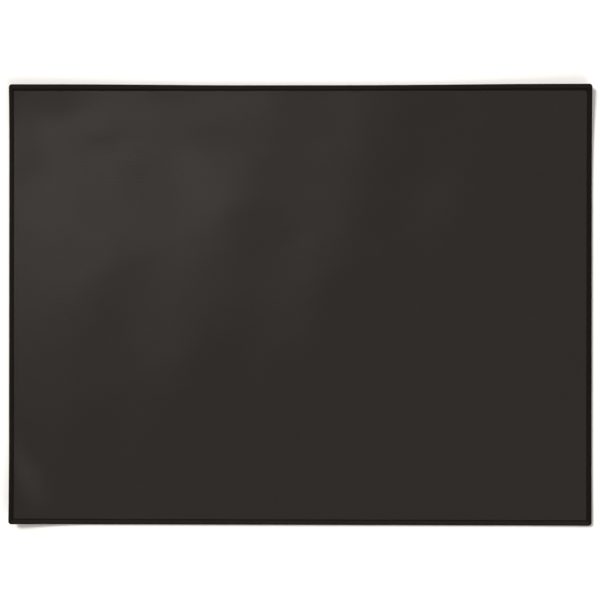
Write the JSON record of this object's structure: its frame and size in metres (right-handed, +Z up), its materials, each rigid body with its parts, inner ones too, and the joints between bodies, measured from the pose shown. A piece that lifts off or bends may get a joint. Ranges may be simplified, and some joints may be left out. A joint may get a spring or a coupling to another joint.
{
  "type": "desk mat",
  "caption": "Thin rectangular desk mat with a foam underside, mitred dark edge trims and a clear overlay sheet that lifts along one short side.",
  "frame": {"origin": "middle of the footprint, on the surface that the mat lies on", "axes": "+X along the long sides, +Y towards the back long side, +Z up; the overlay's crease is on the -X side"},
  "size_m": [0.53, 0.4, 0.0033],
  "materials": {
    "foam": "matte",
    "core": "matte",
    "surface": "matte",
    "trim": "satin",
    "film": "satin"
  },
  "bodies": {
    "mat": {"foam_backing": "foam", "core_sheet": "core", "cover_sheet": "surface", "trim_front": "trim", "trim_back": "trim", "trim_left": "trim", "trim_right": "trim", "overlay_tongue": "film"},
    "overlay": {"overlay_sheet": "film"}
  },
  "joints": [
    {"name": "overlay_lift", "type": "hinge", "parent": "mat", "child": "overlay", "pos_m": [-0.2594, 0, 0.00263], "axis": [0, -1, 0], "range_deg": [0, 140]}
  ]
}
